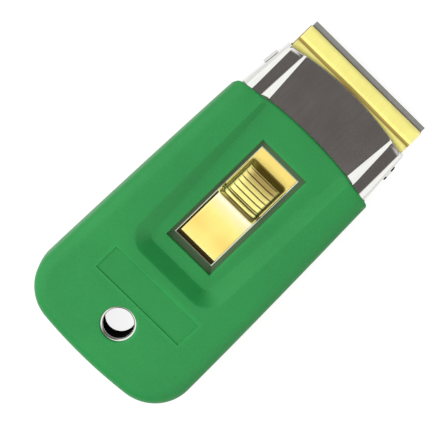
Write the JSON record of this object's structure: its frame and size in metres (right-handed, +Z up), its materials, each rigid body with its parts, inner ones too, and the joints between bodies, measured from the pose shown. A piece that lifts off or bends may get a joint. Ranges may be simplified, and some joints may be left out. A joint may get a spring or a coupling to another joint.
{
  "type": "razor blade scraper",
  "caption": "Flat pocket scraper: a moulded handle cover on a stamped metal body, with a ribbed thumb slide that runs a single-edge blade out of the nose and back.",
  "frame": {"origin": "under the middle of the overall length with the blade out as pictured, on the surface that the scraper lies on", "axes": "+Y along the handle to the blade's edge, +Z up out of the face with the thumb slide, +X to the right"},
  "size_m": [0.0498, 0.1028, 0.0099],
  "materials": {
    "green_plastic": "satin moulded plastic",
    "plated_steel": "bright nickel plating on steel sheet",
    "brass_plate": "bright brass plating on steel sheet",
    "blade_steel": "ground and brushed blade steel",
    "spring_steel": "blued spring steel"
  },
  "bodies": {
    "housing": {"handle_cover": "green_plastic", "top_shell": "plated_steel", "bottom_shell": "plated_steel", "hang_eyelet": "plated_steel"},
    "carrier": {"thumb_slide": "brass_plate", "blade_tray": "brass_plate", "carrier_rivets": "brass_plate", "drag_spring": "spring_steel", "spring_rivet": "brass_plate"},
    "blade": {"blade": "blade_steel", "blade_spine": "blade_steel"}
  },
  "joints": [
    {"name": "carrier_slide", "type": "slide", "parent": "housing", "child": "carrier", "axis": [0, 1, 0], "range_m": [-0.0141, 0.0028]},
    {"name": "blade_pull", "type": "slide", "parent": "carrier", "child": "blade", "axis": [0, 1, 0], "range_m": [0, 0.022]}
  ]
}
